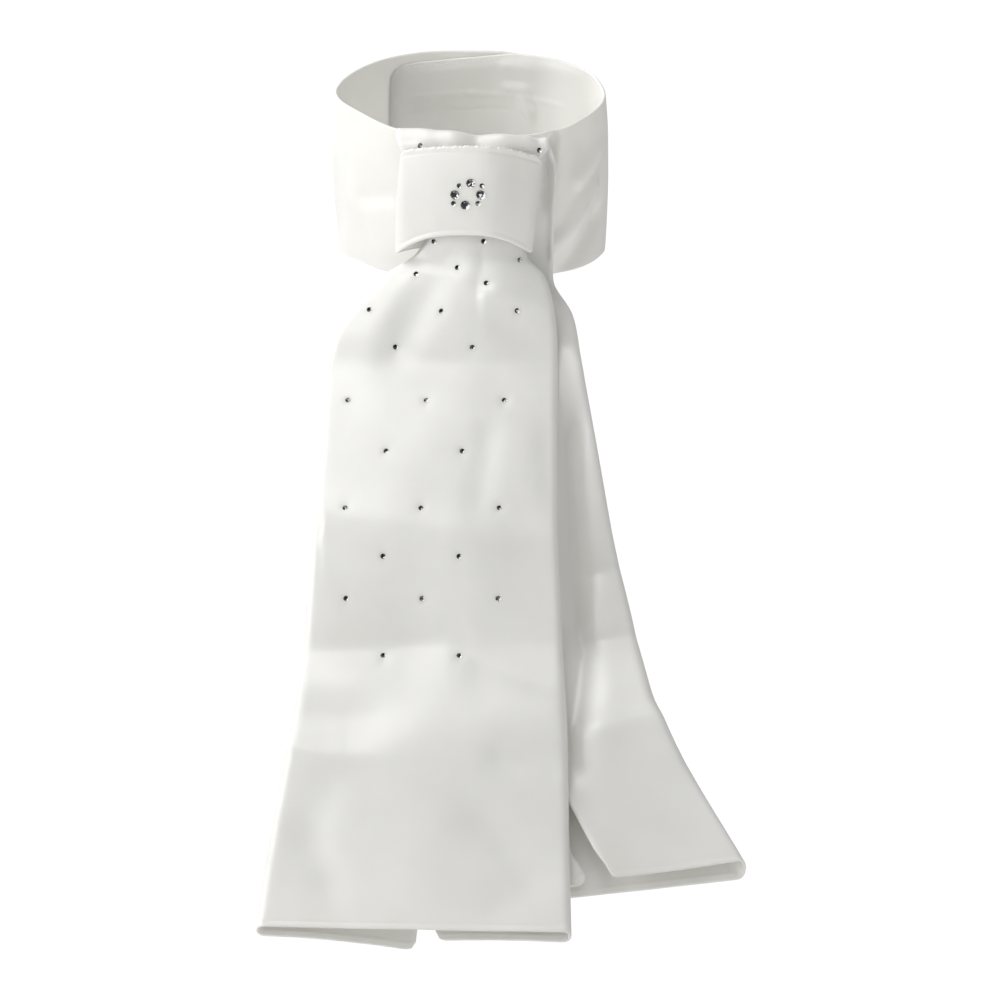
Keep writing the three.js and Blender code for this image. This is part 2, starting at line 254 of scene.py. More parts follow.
def addCamera():
    view = {"place": (0.013778, -3.003611, 0.009655), "pitch": -3.0, "lens": 243.0, "sensor": 36.0}
    data = bpy.data.cameras.new("camera")
    data.lens = view["lens"]
    data.sensor_width = view["sensor"]
    camera = bpy.data.objects.new("camera", data)
    camera.location = view["place"]
    camera.rotation_euler = (math.radians(90 + view["pitch"]), 0, 0)
    bpy.context.scene.collection.objects.link(camera)
    bpy.context.scene.camera = camera


def addLights():
    lampTarget = (0.0, -0.1, -0.13)
    lamps = table("name power size x y z", [
        ("key", 13.4, 0.9, -1.628, -1.040, 0.554),
        ("side", 4.2, 0.8, -1.949, -0.270, 0.286),
        ("back", 16.0, 0.9, -1.174, 0.885, 1.156),
        ("overhead", 8.2, 0.6, -0.386, -0.560, 1.353),
        ("right", 1.1, 1.0, 1.876, -1.183, 0.252),
    ])
    for lamp in lamps:
        data = bpy.data.lights.new(lamp["name"], "AREA")
        data.energy = lamp["power"]
        data.size = lamp["size"]
        light = bpy.data.objects.new(lamp["name"], data)
        light.location = (lamp["x"], lamp["y"], lamp["z"])
        aimAt(light, lampTarget)
        bpy.context.scene.collection.objects.link(light)
    bpy.context.scene.view_settings.view_transform = "Standard"


# A white studio: the picture's ground is white, the light that reaches the object from it is softer

def addStudio():
    glow = {"seen": 1.05, "around": 0.35}
    world = bpy.data.worlds.new("soft studio")
    world.use_nodes = True
    tree = world.node_tree
    tree.nodes.clear()
    ray = addNode(tree, "ShaderNodeLightPath")
    strength = addNode(tree, "ShaderNodeMapRange", links=[("Value", ray.outputs["Is Camera Ray"])],
                       **{"To Min": glow["around"], "To Max": glow["seen"]})
    sky = addNode(tree, "ShaderNodeBackground", links=[("Strength", strength.outputs["Result"])],
                  Color=colour("#FFFFFF"))
    addNode(tree, "ShaderNodeOutputWorld", links=[("Surface", sky.outputs["Background"])])
    bpy.context.scene.world = world


# Pale floor: grey under the object as a painted pool of shade, and glowing more and more away from it,
# blending into the white studio

def addFloor():
    floor = {"height": -0.75, "radius": 2.6, "paintedShadeTo": 0.25, "whiteFrom": 1.7, "glow": 0.95}
    bm = bmesh.new()
    bmesh.ops.create_circle(bm, cap_ends=True, segments=96, radius=floor["radius"],
                            matrix=Matrix.Translation((0, 0, floor["height"])))
    disc = meshObject("floor", bm, smooth=False)
    paper, tree, shader = newMaterial("studio paper with painted shade beneath the object", **{
        "Base Color": colour("#D0D0CE"), "Roughness": 1.0, "Specular IOR Level": 0.1,
        "Emission Color": colour("#FFFFFF")})
    place = addNode(tree, "ShaderNodeTexCoord")
    flat = addNode(tree, "ShaderNodeMapping", links=[("Vector", place.outputs["Object"])], Scale=(1, 1, 0))
    away = addNode(tree, "ShaderNodeVectorMath", links=[("Vector", flat.outputs["Vector"])],
                   operation="LENGTH")
    # painted shade: the floor does not glow near the middle, under the object, and glows fully far from it
    glow = addNode(tree, "ShaderNodeMapRange", links=[("Value", away.outputs["Value"])], **{
        "interpolation_type": "SMOOTHSTEP", "From Min": floor["paintedShadeTo"], "From Max": floor["whiteFrom"],
        "To Min": 0.0, "To Max": floor["glow"]})
    tree.links.new(glow.outputs["Result"], shader.inputs["Emission Strength"])
    disc.data.materials.append(paper)


# Satin: long floats of polyester thread, so the light runs in broad soft bands with a faint grain across
# them. The real thread spacing is 0.1 mm; the grain is drawn at 0.5 mm so that it shows at all.

def satinMaterial():
    threadSpacing = 0.5 * mm
    threadStretch = 0.12  # the grain is about eight times as long as it is wide
    material, tree, shader = newMaterial("polyester satin", **{
        "Base Color": colour("#EFEEE9"), "Roughness": 0.42, "Specular IOR Level": 0.85,
        "Sheen Weight": 0.10, "Sheen Roughness": 0.4, "Subsurface Weight": 0.4,
        "Subsurface Radius": (1.0, 0.97, 0.9), "Subsurface Scale": 3.0 * mm})
    place = addNode(tree, "ShaderNodeUVMap", uv_map="UVMap")
    stretch = addNode(tree, "ShaderNodeMapping", links=[("Vector", place.outputs["UV"])],
                      Scale=(1 / threadSpacing, threadStretch / threadSpacing, 1.0))
    grain = addNode(tree, "ShaderNodeTexNoise", links=[("Vector", stretch.outputs["Vector"])],
                    Scale=1.0, Detail=3.0, Roughness=0.6)
    # a faint uneven tone in patches of about 35 mm
    cloud = addNode(tree, "ShaderNodeTexNoise", links=[("Vector", place.outputs["UV"])],
                    Scale=28.0, Detail=2.0, Roughness=0.5)
    tint = addNode(tree, "ShaderNodeValToRGB", links=[("Fac", cloud.outputs["Fac"])])
    tint.color_ramp.elements[0].position = 0.3
    tint.color_ramp.elements[0].color = colour("#EBEAE4")
    tint.color_ramp.elements[1].position = 0.7
    tint.color_ramp.elements[1].color = colour("#F1F0EC")
    tree.links.new(tint.outputs["Color"], shader.inputs["Base Color"])
    bump = addNode(tree, "ShaderNodeBump", links=[("Height", grain.outputs["Fac"])],
                   Strength=0.12, Distance=0.12 * mm)
    tree.links.new(bump.outputs["Normal"], shader.inputs["Normal"])
    return material


# Sewing thread: twisted polyester, a little brighter and duller than the satin

def threadMaterial():
    material, tree, shader = newMaterial("spun polyester thread", **{
        "Base Color": colour("#F4F4F0"), "Roughness": 0.6, "Sheen Weight": 0.2})
    place = addNode(tree, "ShaderNodeTexCoord")
    twist = addNode(tree, "ShaderNodeTexWave", links=[("Vector", place.outputs["Object"])],
                    Scale=900.0, Distortion=1.0, bands_direction="DIAGONAL")
    bump = addNode(tree, "ShaderNodeBump", links=[("Height", twist.outputs["Fac"])],
                   Strength=0.3, Distance=0.1 * mm)
    tree.links.new(bump.outputs["Normal"], shader.inputs["Normal"])
    return material


# Hook-and-loop tape: a matt nap of tiny loops, which break the light up into fine grey specks

def hookTapeMaterial():
    loopSpacing = 0.8 * mm
    material, tree, shader = newMaterial("nylon hook and loop tape", **{
        "Base Color": colour("#E8E8E3"), "Roughness": 0.95, "Sheen Weight": 0.5})
    place = addNode(tree, "ShaderNodeTexCoord")
    nap = addNode(tree, "ShaderNodeTexVoronoi", links=[("Vector", place.outputs["Object"])],
                  Scale=1 / loopSpacing)
    bump = addNode(tree, "ShaderNodeBump", links=[("Height", nap.outputs["Distance"])],
                   Strength=0.6, Distance=0.3 * mm)
    tree.links.new(bump.outputs["Normal"], shader.inputs["Normal"])
    return material


# Foil-backed crystal: clear cut glass over a silver mirror. Which single facets go dark and which flash white
# is painted: each facet gets a painted colour from near black to white, and the brightest glow as a painted
# glint

def crystalMaterial():
    material, tree, shader = newMaterial("foil-backed crystal glass", **{
        "Base Color": colour("#B9C0C6"), "Metallic": 0.9, "Roughness": 0.08,
        "Coat Weight": 0.6, "Coat Roughness": 0.02, "Coat IOR": 1.5, "Emission Color": colour("#FFFFFF")})
    paintedFacetLight = addNode(tree, "ShaderNodeAttribute", attribute_name="paintedFacetLight")
    # painted shade and highlight: the painted facet value sets each facet's colour, from near black through
    # grey to white
    paintedFacetShade = addNode(tree, "ShaderNodeValToRGB", links=[("Fac", paintedFacetLight.outputs["Fac"])])
    stops = paintedFacetShade.color_ramp.elements
    stops[0].position = 0.34
    stops[0].color = colour("#0A0B0C")
    stops[1].position = 0.72
    stops[1].color = colour("#FFFFFF")
    grey = stops.new(0.55)
    grey.color = colour("#6E7479")
    tree.links.new(paintedFacetShade.outputs["Color"], shader.inputs["Base Color"])
    # painted glint: the facets with the highest painted value glow white, standing in for a lamp's light sent
    # forward
    paintedGlint = addNode(tree, "ShaderNodeMapRange", links=[("Value", paintedFacetLight.outputs["Fac"])],
                    **{"From Min": 0.66, "From Max": 0.80, "To Min": 0.0, "To Max": 0.7})
    tree.links.new(paintedGlint.outputs["Result"], shader.inputs["Emission Strength"])
    return material


satin = satinMaterial()
thread = threadMaterial()
hookTape = hookTapeMaterial()
crystal = crystalMaterial()
print("materials made")


def finishPiece(piece, material, slot, *nodes):
    piece.data.materials.clear()
    piece.data.materials.append(material)
    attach(piece, "root")
    if nodes:
        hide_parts(*nodes)


# Neck band: one strip that goes once round and laps inside at the back

neckBand = {
    "columns": 430, "rows": 84, "thick": 1.3, "flat": (0.440, 0.071), "tall": 71.0, "bulge": 1.2,
    "depth": 55.0,
    # turns at which the strip starts and ends, and between which it steps from the inner layer to the outer
    "from": -0.107, "to": 1.115, "stepFrom": 0.10, "stepTo": 0.19, "lap": 2.9,
    # how far the inner end bends out and over what length; how far its top edge is pressed out and over what
    # share of the height
    "endBend": 2.8, "endReach": 22.0, "edgePress": 1.3, "edgeShare": 0.07,
    "vStops": [(0, 0), (0.10, 0.04), (0.90, 0.96), (1, 1)],
    "topRim": {"y": -10.6, "z": 33.1, "tilt": 21.1, "bow": 0.0},
    "lowRim": {"y": 11.2, "z": -34.9, "tilt": 17.8, "bow": 3.2},
    # how far the inner end's top edge lies below the rim, in mm, along the turn
    "innerDrop": [(-0.107, 4.4), (-0.08, 4.4), (-0.035, 3.7), (0.013, 2.2), (0.055, 0.3), (0.10, 0)],
    "outerDrop": [(1.04, 0), (1.085, 1.6), (1.115, 3.0)],
    "corner": 9.0,
    "waves": [{"length": 60.0, "amount": 0.30, "seed": 3}, {"length": 22.0, "amount": 0.08, "seed": 5}],
}
neckPlan = table("x back", [
    (0, 55), (22, 53), (40, 45), (53, 29), (59, 12), (60.5, -5), (54, -26), (42, -43), (23, -52.5), (4, -55),
    (-15, -52.5), (-33, -43), (-48, -24), (-57.5, -7), (-59, 6), (-52, 27), (-40, 43), (-22, 53),
])
# Folds of the band: a is mm round from the middle of the back, b is mm up from the lower rim, h is outward.
# The last five are the crease above the sewn box that holds the closure patch, and the box's seam.
bandFolds = table("a0 b0 a1 b1 half h", [
    (122, 36, 148, 14, 4.5, 3.4),
    (116, 52, 132, 44, 5.0, 1.8),
    (142, 2, 116, 20, 5.5, -3.0),
    (136, 44, 130, 60, 6.0, -1.4),
    (146, 66, 152, 36, 3.0, -5.5),
    (226, 38, 236, 35, 5.0, -1.7),
    (216, 52, 228, 60, 7.0, 0.7),
    (232, 10, 246, 30, 8.0, 1.0),
    (262, 30, 270, 12, 8.0, -0.9),
    (20, 65, 27, 64, 3.2, -1.3),
    (20, 55, 26, 55, 2.8, -1.5),
    (26, 49, 28, 45, 2.8, -1.7),
    (6, 55, -8, 62, 6.0, 0.3),
    (-34, 51, 0, 52, 1.0, -0.5),
    (0, 52, 46, 50, 1.0, -0.5),
    (-30, 44, 17, 45, 0.6, 0.35),
    (17, 45, 24, 43, 0.6, 0.35),
    (24, 43, 27, 39, 0.6, 0.35),
])


# A smooth closed curve through the points of the plan, and how far round each of its points lies

def closedPlan(rows, samples=60):
    points = np.array([(row["x"], row["back"]) for row in rows], float)
    count = len(points)
    dense = []
    for i in range(count):
        p0, p1, p2, p3 = (points[(i + k) % count] for k in (-1, 0, 1, 2))
        d0, d1, d2 = (math.sqrt(np.linalg.norm(b - a)) for a, b in ((p0, p1), (p1, p2), (p2, p3)))
        m1 = ((p1 - p0) / d0 - (p2 - p0) / (d0 + d1) + (p2 - p1) / d1) * d1
        m2 = ((p2 - p1) / d1 - (p3 - p1) / (d1 + d2) + (p3 - p2) / d2) * d1
        t = np.linspace(0, 1, samples, endpoint=False)[:, None]
        dense.append(smoothRun(t, p1, m1, p2, m2))
    dense = np.vstack(dense + [points[:1]])
    length = np.concatenate([[0], np.cumsum(np.linalg.norm(np.diff(dense, axis=0), axis=1))])
    return dense, length


planPoints, planLength = closedPlan(neckPlan)
bandRound = planLength[-1]


# The plan at a turn: x, how far back, and the direction round

def planAt(turn):
    at = np.mod(turn, 1.0) * bandRound
    x = np.interp(at, planLength, planPoints[:, 0])
    back = np.interp(at, planLength, planPoints[:, 1])
    step = 1.5
    x0, x1 = (np.interp(np.mod(at + s, bandRound), planLength, planPoints[:, 0]) for s in (-step, step))
    y0, y1 = (np.interp(np.mod(at + s, bandRound), planLength, planPoints[:, 1]) for s in (-step, step))
    size = np.hypot(x1 - x0, y1 - y0)
    return x, back, (x1 - x0) / size, (y1 - y0) / size


def rimPoint(rim, x, back):
    tilt = math.radians(rim["tilt"])
    bow = rim["bow"] * (back / neckBand["depth"]) ** 2
    return np.stack([x, rim["y"] + back * math.cos(tilt), rim["z"] + back * math.sin(tilt) + bow], -1)


# A point of the band between its tilted rims, so far in from the plan

def bandPoint(turn, up, inset):
    x, back, tx, ty = planAt(turn)
    out = neckBand["bulge"] * np.sin(np.pi * np.clip(up, 0, 1)) - inset
    x = x - ty * out
    back = back + tx * out
    low, top = rimPoint(neckBand["lowRim"], x, back), rimPoint(neckBand["topRim"], x, back)
    return low + (top - low) * up[:, None]


def bandOutward(turn):
    x, back, tx, ty = planAt(turn)
    return np.stack([-ty, tx, np.zeros_like(tx)], -1)


# A place on the strip, turn round and up as shares, with the direction away from the neck

def bandPlace(turn, up):
    inner = 1 - smoothStep(neckBand["stepFrom"], neckBand["stepTo"], turn)
    pastEnd = smoothStep(0, neckBand["endReach"], (turn - neckBand["from"]) * bandRound)
    # the free end bends out towards the layer behind it
    inset = neckBand["thick"] / 2 + neckBand["lap"] * inner - neckBand["endBend"] * (1 - pastEnd)
    # so does its top edge, over the last few millimetres
    topEdge = 1 - np.interp(turn, *zip(*neckBand["innerDrop"])) / neckBand["tall"]
    nearEdge = smoothStep(topEdge - neckBand["edgeShare"], topEdge, up)
    point = bandPoint(turn, up, inset - neckBand["edgePress"] * inner * nearEdge * pastEnd)
    outward = bandOutward(turn)
    push = foldHeight(bandFolds, turn * bandRound, up * neckBand["tall"])
    push = push + waveHeight(neckBand["waves"], point)
    return point + outward * push[:, None], outward


def bandSurface(u, v):
    turn = neckBand["from"] + (neckBand["to"] - neckBand["from"]) * u
    drop = np.interp(turn, *zip(*neckBand["innerDrop"])) + np.interp(turn, *zip(*neckBand["outerDrop"]))
    fromEnd = np.minimum(turn - neckBand["from"], neckBand["to"] - turn) * bandRound
    reach = neckBand["corner"] - np.minimum(fromEnd, neckBand["corner"])
    corner = neckBand["corner"] - np.sqrt(np.maximum(0, neckBand["corner"] ** 2 - reach ** 2))
    top = 1 - (drop + corner) / neckBand["tall"]
    low = corner / neckBand["tall"]
    point, outward = bandPlace(turn, low + (top - low) * (1 - v))
    return point


def makeNeckBand():
    piece = clothGrid("neck_band_satin", neckBand, bandSurface)
    finishPiece(piece, satin, "satin", "neck_band")


# Hook-and-loop patch between the two layers of the band

patch = {
    "columns": 60, "rows": 30, "thick": 0.9, "flat": (0.065, 0.034), "inset": 2.12,
    "vStops": [(0, 0), (1, 1)],
    # turns and shares of the band's height between which the patch lies
    "from": -0.052, "to": 0.095, "low": 0.3, "top": 0.78,
}


def patchSurface(u, v):
    turn = patch["from"] + (patch["to"] - patch["from"]) * u
    up = patch["top"] + (patch["low"] - patch["top"]) * v
    point = bandPoint(turn, up, np.full_like(turn, patch["inset"]))
    return point + bandOutward(turn) * waveHeight(neckBand["waves"], point)[:, None]


def makeClosurePatch():
    piece = clothGrid("closure_patch_tape", patch, patchSurface)
    finishPiece(piece, hookTape, "hook_and_loop", "closure_patch")


# Knot band: a loop round the gathered tail, its top hem puckered by the stitching

knotBand = {
    "columns": 300, "rows": 96, "thick": 1.4, "flat": (0.140, 0.038), "tall": 38.0, "wall": 1.8,
    "vStops": [(0, 0), (0.2, 0.10), (0.8, 0.90), (1, 1)],
    # shares of the way round that the front and each side take, and how square the sides are
    "frontShare": 0.42, "sideShare": 0.08, "square": 0.5,
    # how far the rear wall's lower edge hangs below its row, and how much further at the left
    "rearDrop": 2.0, "rearDropLeft": 4.0,
    # how full the front stands out at a height, how much fuller with each mm above it, and how that fades
    "full": 2.6, "fullAt": -8.0, "fuller": 0.10, "fadeRound": 0.6, "fadeAcross": 0.8,
}
# The band's front leans forward as it rises. The knot's two walls lie these distances ahead of it, the front
# wall steeper, and they curve back at the sides as the neck does.
bandFront = {"y": -58.75, "lean": 0.335}
knotFrontOffset = 14.8
knotFrontLean = 0.17
knotRearOffset = 6.7
knotRearSag = 1.06
# Sections of the knot from the bottom (t 0) to the top (t 1): x of its sides, z of its edge in the middle of
# the front, at the left, at the right and on the rear wall, and how late the edge drops towards the sides
knotRows = table("t left right front leftEnd end rear power", [
    (0.0, -32.2, 28.2, -28.8, -37.0, -37.5, -31.0, 2.6),
    (0.5, -31.6, 30.4, -9.2, -14.5, -16.5, -16.0, 2.3),
    (1.0, -29.8, 32.6, 9.9, 7.8, 4.6, -2.0, 2.0),
])
neckSag = {"middle": 5.0, "depth": 6.6, "half": 33.0}
# Hems of the knot: at is the distance from the edge, h is outward
knotTopHem = table("at half h", [(0.6, 0.6, 0.26), (2.2, 0.6, -0.22)])
knotLowHem = table("at half h", [(0.8, 0.9, 0.40), (2.4, 0.8, -0.15)])
# Pucker of the top hem: quick waves with an uneven beat and slow ones, in radians for each mm of x
knotPucker = {"quick": 3.4, "uneven": 0.7, "unevenBy": 1.3, "slow": 1.3, "slowStart": 2.0, "slowShare": 0.8,
              "reach": 1.7, "out": 0.15, "up": 0.17}
# Folds and bends of the knot's front: a is x, b is z, heights are out of the front
knotFolds = table("a0 b0 a1 b1 half h", [
    (-24, 1, -14, -3, 3.5, 0.5),
    (-26, -8, -20, -24, 4.0, -0.3),
    (22, 0, 24, -24, 5.0, -0.4),
    (-12, -20, 6, -22, 4.0, 0.3),
])
knotBends = [
    {"runs": "down", "line": [(-40, 12), (12, 9)], "turn": -0.48, "soft": 2.0, "spread": 11, "fade": (1, 1)},
]


def sagAt(x):
    return neckSag["depth"] * ((x - neckSag["middle"]) / neckSag["half"]) ** 2


def knotFront(x, z):
    return bandFront["y"] - bandFront["lean"] * z - knotFrontOffset + knotFrontLean * z + sagAt(x)


def knotRear(x, z):
    return bandFront["y"] - bandFront["lean"] * z - knotRearOffset + knotRearSag * sagAt(x)


def puckerAt(x, fromTop):
    quick = np.sin(x * knotPucker["quick"] + knotPucker["unevenBy"] * np.sin(x * knotPucker["uneven"]))
    slow = knotPucker["slowShare"] * np.sin(x * knotPucker["slow"] + knotPucker["slowStart"])
    return (quick + slow) * np.exp(-(fromTop / knotPucker["reach"]) ** 2)


def knotSurface(u, v):
    row = rowsAt(knotRows, "t", 1 - v)
    middle = (row["left"] + row["right"]) / 2
    half = (row["right"] - row["left"] - knotBand["wall"]) / 2
    depth = (knotRear(half, row["end"]) - knotFront(half, row["end"])) / 2
    straight = half - depth
    frontShare, sideShare, square = knotBand["frontShare"], knotBand["sideShare"], knotBand["square"]
    # round the loop: front, right side, rear, left side; rear is 0 on the front wall and 1 on the rear wall
    x = np.empty_like(u)
    rear = np.empty_like(u)
    onFront = u <= frontShare
    onRight = (u > frontShare) & (u <= frontShare + sideShare)
    onRear = (u > frontShare + sideShare) & (u <= 1 - sideShare)
    onLeft = u > 1 - sideShare
    x[onFront] = (middle - straight + 2 * straight * u / frontShare)[onFront]
    rear[onFront] = 0
    for sign, side, share in ((1, onRight, (u - frontShare) / sideShare), (-1, onLeft, (1 - u) / sideShare)):
        angle = np.pi * np.clip(share, 0, 1)
        x[side] = (middle + sign * (straight + depth * np.sin(angle) ** square))[side]
        rear[side] = ((1 - np.sign(np.cos(angle)) * np.abs(np.cos(angle)) ** square) / 2)[side]
    share = (u - frontShare - sideShare) / (1 - frontShare - 2 * sideShare)
    x[onRear] = (middle + straight - 2 * straight * share)[onRear]
    rear[onRear] = 1
    side = np.clip((x - middle) / half, -1, 1)
    frontEnd = np.where(side < 0, row["leftEnd"], row["end"])
    frontZ = row["front"] + (frontEnd - row["front"]) * np.abs(side) ** row["power"]
    # the rear wall hangs a little lower on the left, where its edge shows under the front
    rearZ = row["rear"] - v * (knotBand["rearDrop"] + knotBand["rearDropLeft"] * np.clip(-side, 0, 1) ** 2)
    z = frontZ * (1 - rear) + rearZ * rear
    y = knotFront(x, z) * (1 - rear) + knotRear(x, z) * rear
    front = 1 - smoothStep(0, knotBand["fadeRound"], rear)
    # the top hem is thin and puckered by its stitches, the lower one a smooth roll
    fromTop = v * knotBand["tall"]
    fromLow = (1 - v) * knotBand["tall"]
    hems = hemHeight(knotTopHem, fromTop) + hemHeight(knotLowHem, fromLow)
    pucker = puckerAt(x, fromTop)
    full = knotBand["full"] + knotBand["fuller"] * (z - knotBand["fullAt"])
    shape = foldHeight(knotFolds, x, z) + bendHeight(knotBends, x, z) + full
    inMiddle = np.cos(side * np.pi / 2) ** knotBand["fadeAcross"]
    y = y - front * (shape * inMiddle + hems + knotPucker["out"] * pucker)
    z = z + front * knotPucker["up"] * pucker
    return np.stack([x, y, z], -1)


def makeKnotBand():
    piece = clothGrid("knot_band_satin", knotBand, knotSurface, closed=True)
    finishPiece(piece, satin, "satin", "knot_band")
    return piece


# Tails: a row for each section, from the top down. The middle of the main face is at z, y and x. Then come
# the width across the folds, the radius of the folds, the widths of the flaps and how far their free edges
# stand off, the share of the neck's curve, how far the side edges are bowed back, and the roll in degrees

tailColumns = "z y x width fold left right leftLift rightLift sag bow roll"
frontRows = table(tailColumns, [
    (15.6, -69.0, 2.0, 66, 1.4, 20, 20, 0, 0, 1, 0, -4),
    (11, -71.6, 1.8, 65, 1.5, 20, 20, 0, 0, 1, 0, -3),
    (6, -71.4, 1.6, 60, 1.5, 20, 20, 0, 0, 1, 0, -2),
    (1, -70.6, 2.0, 50, 1.6, 18, 18, 0, 0, 1, 0, 0),
    (-12, -69.1, 2.4, 45, 1.9, 17, 17, 0, 0, 1, 0, 0),
    (-27, -66.4, 4.0, 39.6, 2.2, 16, 16, 0, 0, 1, 0, 0),
    (-38, -68.0, 0.8, 48.6, 2.4, 20, 20, 0, 0, 1.8, 1.5, 0),
    (-46, -71.0, -1.6, 68, 2.5, 28, 28, 0.5, 0.5, 0.9, 4, 0),
    (-58, -74.0, -5.2, 83, 2.6, 35, 35, 1, 1, 0.4, 5, 0),
    (-71, -77.0, -9.0, 94, 2.6, 41, 40, 1, 1, 0.1, 4.5, 0),
    (-82, -80.2, -10.8, 98.2, 2.6, 44, 42, 1, 1, 0, 4, 0),
    (-88, -84.0, -11.3, 99, 2.6, 45, 43, 1, 1, 0, 4, 0),
    (-98, -91.4, -11.5, 99.1, 2.6, 45, 43, 1, 1, 0, 4, 0),
    (-120, -105.0, -12.0, 99.4, 2.6, 46, 43, 2, 1.5, 0, 4, 0),
    (-152, -122.6, -13.9, 103.2, 2.6, 48, 44, 2, 1.5, 0, 4, 0),
    (-160, -125.8, -14.3, 104.2, 2.6, 49, 44, 2, 1.5, 0, 4, 0),
    (-200, -136.6, -14.7, 109.1, 2.8, 52, 46, 3, 2, 0, 3, 0),
    (-208, -141.0, -14.9, 110.2, 2.8, 52, 46, 3, 2, 0, 2.5, 0),
    (-228, -153.8, -15.6, 114, 3.0, 55, 48, 3, 2, 0, 2, 0),
    (-244, -163.6, -16.9, 117.4, 3.1, 57, 50, 3, 2, 0, 2, 0),
    (-252, -167.8, -17.7, 119.2, 3.1, 58, 51, 4, 2, 0, 2, 0),
    (-290, -184.4, -20.8, 126.6, 3.2, 62, 54, 9, 4, 0, 1.5, 0),
    (-317, -196.9, -22.4, 131, 3.2, 63, 53, 14, 6, 0, 1.5, -1),
])
backRows = table(tailColumns, [
    (11, -65.2, 6, 53, 1.0, 20, 20, 0, 0, 1.06, 0, 0),
    (3, -61.6, 8.6, 58, 1.3, 20, 20, 0, 0, 1.06, 0, 0),
    (-20, -53.5, 8, 58, 1.4, 20, 20, 0, 0, 1.06, 0, 0),
    (-40, -47.0, 7.5, 58, 1.5, 20, 20, 0, 0, 1.06, 0, 0),
    (-52, -46.6, 7.2, 60, 1.8, 22, 22, 0, 0, 0.9, 0, 0),
    (-66, -54.5, 5.6, 79, 2.3, 30, 30, 0.5, 0.5, 0.4, 2, 0),
    (-86, -68.0, 4.6, 88, 2.5, 36, 36, 1, 1, 0.1, 3, 1),
    (-120, -88.2, 7.6, 94, 2.6, 40, 40, 1.5, 1.5, 0, 7, 3),
    (-159.5, -104.2, 11.8, 99, 2.6, 43, 43, 2, 2, 0, 7, 5),
    (-175.5, -109.6, 13.9, 101.5, 2.6, 44, 44, 2, 2, 0, 5, 6),
    (-204, -119.4, 18.6, 105.6, 2.8, 46, 46, 3, 3, 0, 3.5, 7),
    (-212, -123.2, 19.9, 106.8, 2.9, 46, 46, 3, 3, 0, 2.5, 7.3),
    (-235, -137.8, 24.4, 110, 3.1, 49, 49, 3, 4, 0, 1.5, 8),
    (-246, -144.6, 28.2, 113, 3.1, 50, 50, 3, 4, 0, 1.5, 8.4),
    (-263, -152.2, 34.4, 118, 3.2, 52, 52, 4, 5, 0, 1.5, 9),
    (-303.6, -168.5, 55.0, 126, 3.2, 55, 55, 5, 8, 0, 1.5, 8),
])
# Folds and bends of the tails: a is x, b is z, heights are towards the wearer's front
frontFolds = table("a0 b0 a1 b1 half h", [
    (-8, -36, -26, -70, 8.5, -2.8),
    (-36, -56, -42, -76, 8.0, 1.2),
    (16, -70, 34, -80, 7.0, -1.3),
    (8, -118, 5, -140, 6.5, -0.8),
    (34, -118, 36, -140, 6.0, -1.0),
    (-20, -170, -26, -192, 12.0, -0.8),
    (22, -164, 30, -186, 12.0, -1.0),
    (-60, -262, -66, -276, 9.0, -1.2),
    (-62, -288, -58, -296, 8.0, -1.2),
    (10, -276, 16, -284, 9.0, -1.3),
    (24, -300, 14, -306, 9.0, -1.0),
    (-22, -262, -24, -300, 16.0, 0.8),
    (34, -254, 14, -249, 4.0, -0.7),
])
frontBends = [
    {"runs": "down", "line": [(-50, 7.4), (-28, 5.0)],
     "turn": 0.80, "soft": 0.7, "spread": 4, "fade": (7, 6)},
    {"runs": "across", "line": [(8, -52.6), (15, -55), (25, -59.2), (35, -62.5)],
     "turn": -0.90, "soft": 0.8, "spread": 5, "fade": (5, 8)},
    {"runs": "across", "line": [(-62, -82), (1, -82.8), (38, -87)],
     "turn": 0.34, "soft": 4.5, "spread": 12, "fade": (1, 1)},
    {"runs": "across", "line": [(-62, -148), (-54, -149), (-12, -156), (14, -158), (42, -158)],
     "turn": -0.50, "soft": 1.9, "spread": 8, "fade": (1, 1)},
    {"runs": "across", "line": [(-72, -205), (-37, -203.2), (-18, -199.9), (-9, -198.8), (-3, -201.2),
                                (4, -206.9), (18, -213), (44, -222.4)],
     "turn": 0.50, "soft": 1.3, "spread": 8, "fade": (1, 1)},
    {"runs": "across", "line": [(-74, -219), (-52, -218)],
     "turn": -0.32, "soft": 2.2, "spread": 6, "fade": (1, 30)},
    {"runs": "across", "line": [(-76, -231), (-52, -231)],
     "turn": 0.32, "soft": 2.0, "spread": 6, "fade": (1, 30)},
    {"runs": "across", "line": [(-30, -240), (0, -236), (36, -230)],
     "turn": -0.36, "soft": 4.0, "spread": 11, "fade": (22, 12)},
    {"runs": "across", "line": [(-80, -243.6), (-75, -244.6), (-60, -248.2)],
     "turn": -0.70, "soft": 1.0, "spread": 6, "fade": (1, 34)},
    {"runs": "across", "line": [(20, -249), (46, -246)],
     "turn": 0.30, "soft": 1.0, "spread": 5, "fade": (20, 1)},
]
backFolds = table("a0 b0 a1 b1 half h", [
    (46, -84, 52, -90, 4.5, 1.6),
    (42.5, -118, 46, -196, 6.5, -9.0),
    (47, -207, 44, -256, 7.0, -4.5),
])
backBends = [
    {"runs": "across", "line": [(53, -178.6), (66, -177), (72, -176)],
     "turn": 0.80, "soft": 0.8, "spread": 6, "fade": (8, 1)},
    {"runs": "across", "line": [(50, -208), (62, -206.8), (76, -205.8)],
     "turn": 0.85, "soft": 0.9, "spread": 7, "fade": (7, 1)},
    {"runs": "across", "line": [(62, -229), (76, -227.5)],
     "turn": -0.3, "soft": 1.2, "spread": 4, "fade": (8, 1)},
    {"runs": "across", "line": [(50, -246), (65, -244), (90, -242)],
     "turn": -0.75, "soft": 0.8, "spread": 7, "fade": (8, 1)},
]
